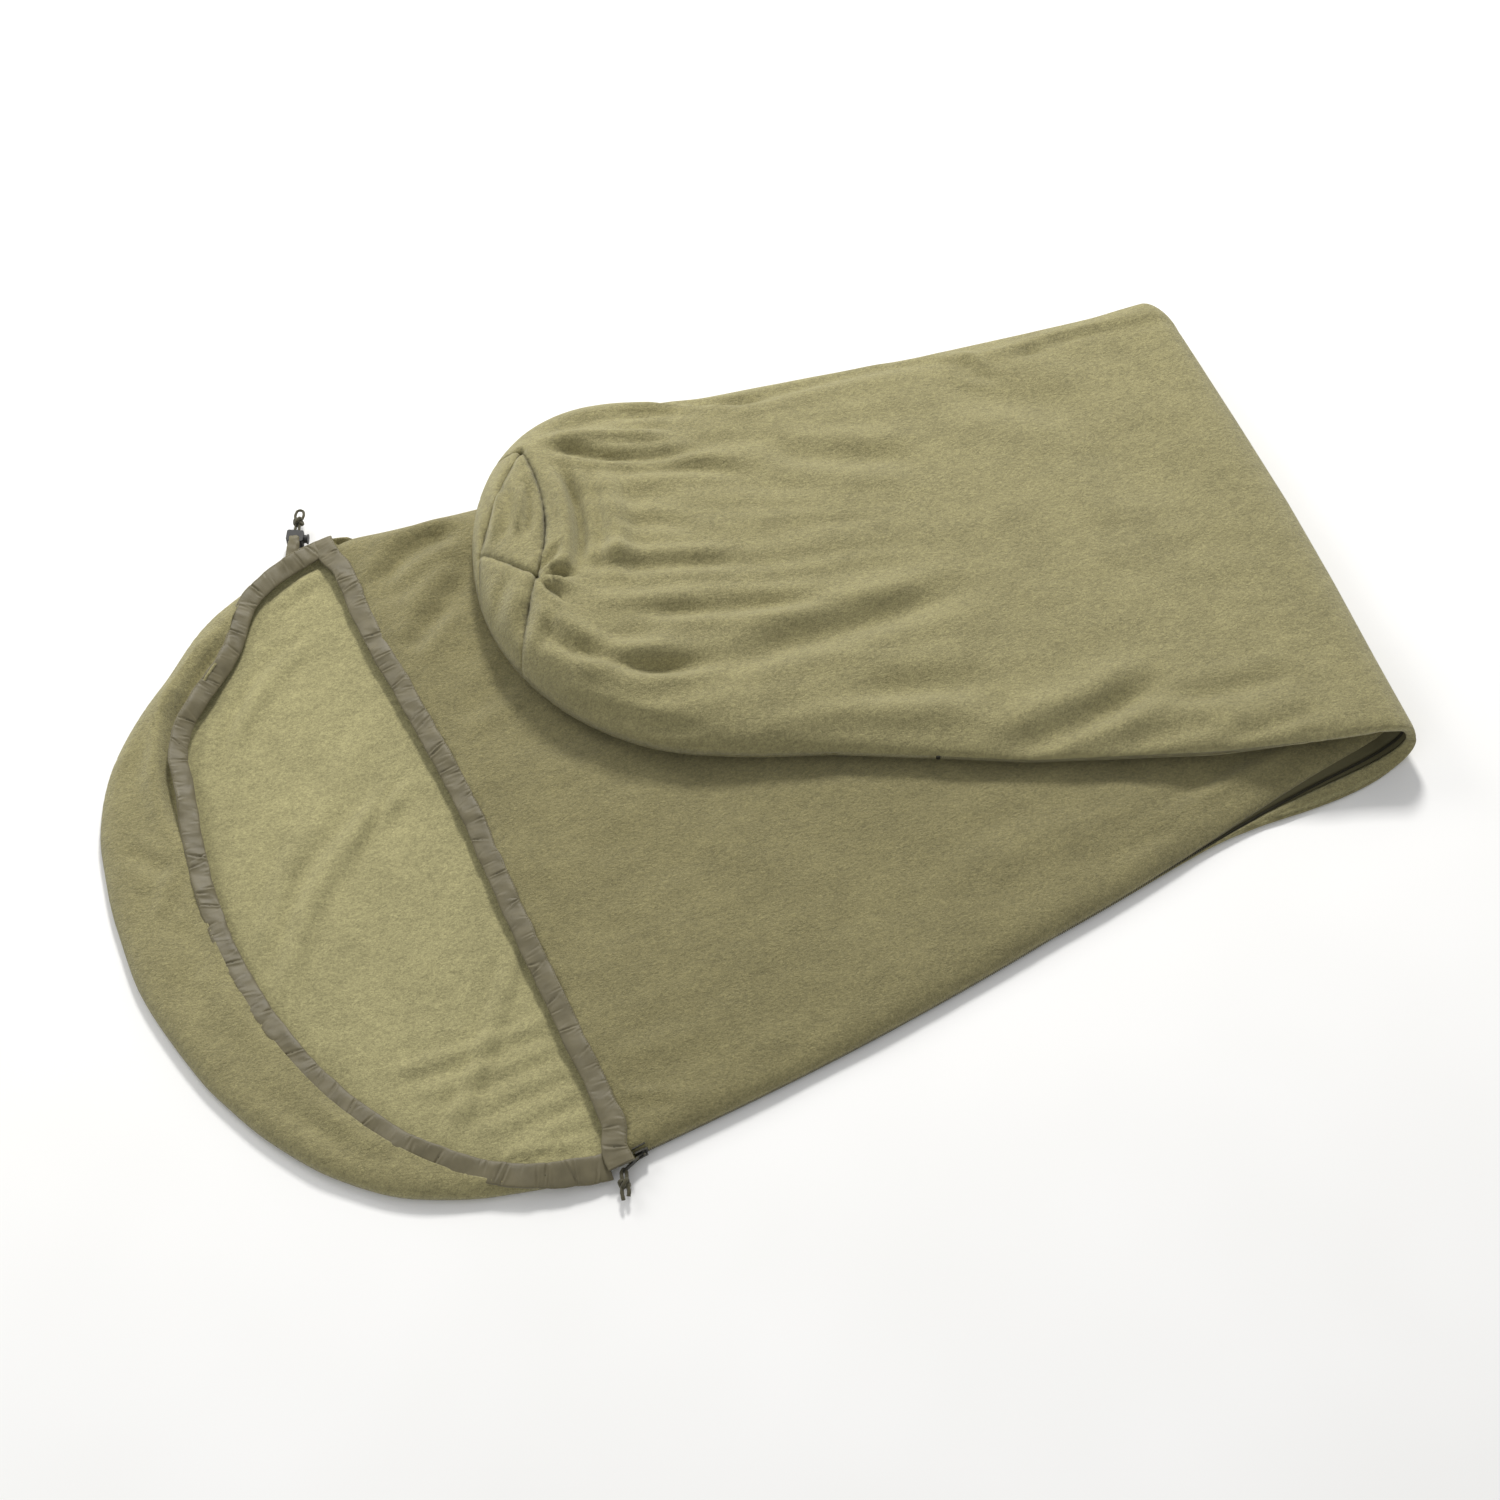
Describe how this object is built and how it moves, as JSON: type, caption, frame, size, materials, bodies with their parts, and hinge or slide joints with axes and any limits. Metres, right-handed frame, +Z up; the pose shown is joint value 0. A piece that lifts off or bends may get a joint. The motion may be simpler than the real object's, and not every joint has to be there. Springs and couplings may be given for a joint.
{
  "type": "bivy sack",
  "caption": "Mummy-shaped fleece bivy sack with a drawcord hood, a long side zip and a gusseted foot box, lying folded in half with its foot end over its front.",
  "frame": {"origin": "on the floor, under the middle of the chest edge of the face opening", "axes": "+X along the bag from the chest edge to the fold, +Y across the bag away from the zip, +Z up"},
  "size_m": [1.3268, 0.8917, 0.1],
  "materials": {
    "fleece": "matt anti-pill fleece, olive-khaki",
    "nylon_hem": "thin woven nylon with a soft sheen, gathered into small pleats",
    "cord": "braided round polyester cord",
    "zip_tape": "herringbone woven tape",
    "zip_coil": "moulded spiral coil",
    "zip_metal": "gunmetal plated",
    "lock_plastic": "black moulded plastic",
    "spring_steel": "bright spring wire"
  },
  "bodies": {
    "head_half": {"back_panel_head": "fleece", "front_panel_head": "fleece", "hood_panel": "fleece", "hood_hem": "nylon_hem", "chest_hem": "nylon_hem", "hood_drawcord": "cord", "chest_drawcord": "cord", "zip_tape_back_head": "zip_tape", "zip_tape_front_head": "zip_tape", "zip_coil_back_head": "zip_coil", "zip_coil_front_head": "zip_coil", "zip_top_stops": "zip_metal", "cord_lock_tab": "nylon_hem", "cord_lock_body": "lock_plastic", "cord_lock_spring": "spring_steel"},
    "fold_band": {"back_panel_fold": "fleece", "front_panel_fold": "fleece", "zip_tape_back_fold": "zip_tape", "zip_tape_front_fold": "zip_tape", "zip_coil_back_fold": "zip_coil", "zip_coil_front_fold": "zip_coil"},
    "foot_half": {"back_panel_foot": "fleece", "front_panel_foot": "fleece", "foot_end_panel": "fleece", "foot_gusset_zip_side": "fleece", "foot_gusset_seam_side": "fleece", "zip_tape_back_foot": "zip_tape", "zip_tape_front_foot": "zip_tape", "zip_coil_back_foot": "zip_coil", "zip_coil_front_foot": "zip_coil", "zip_bottom_stop": "zip_metal"},
    "zip_slider": {"zip_slider": "zip_metal"},
    "zip_pull_tab": {"zip_pull_tab": "zip_metal"},
    "zip_pull_cord": {"zip_pull_cord": "cord"},
    "cord_lock_plunger": {"cord_lock_plunger": "lock_plastic"},
    "drawcord_end": {"drawcord_end": "cord"}
  },
  "joints": [
    {"name": "fold_lower", "type": "hinge", "parent": "head_half", "child": "fold_band", "pos_m": [0.93799, -0.00056, 0.016], "axis": [0.0349, 0.9994, 0], "range_deg": [0, 88]},
    {"name": "fold_upper", "type": "hinge", "parent": "fold_band", "child": "foot_half", "pos_m": [0.93799, -0.00056, 0.048], "axis": [0.0349, 0.9994, 0], "range_deg": [0, 88]},
    {"name": "zip_slide", "type": "slide", "parent": "head_half", "child": "zip_slider", "axis": [0.9938, 0.1115, 0], "range_m": [0, 0.84]},
    {"name": "pull_tab_swing", "type": "hinge", "parent": "zip_slider", "child": "zip_pull_tab", "pos_m": [0.03131, -0.40015, 0.011], "axis": [0, 0, 1], "range_deg": [-10, 110]},
    {"name": "pull_cord_swing", "type": "hinge", "parent": "zip_pull_tab", "child": "zip_pull_cord", "pos_m": [0.00803, -0.40927, 0.011], "axis": [0, 0, 1], "range_deg": [-60, 30]},
    {"name": "cord_lock_press", "type": "slide", "parent": "head_half", "child": "cord_lock_plunger", "axis": [-0.8894, 0.4571, 0], "range_m": [0, 0.0035], "stiffness_N_per_m": 600, "springref_m": -0.004, "deforming": ["cord_lock_spring"]},
    {"name": "drawcord_pull", "type": "slide", "parent": "head_half", "child": "drawcord_end", "axis": [0.4571, 0.8894, 0], "range_m": [0, 0.03]}
  ],
  "couplings": [
    {"joint": "fold_upper", "follows": "fold_lower", "ratio": 1}
  ]
}
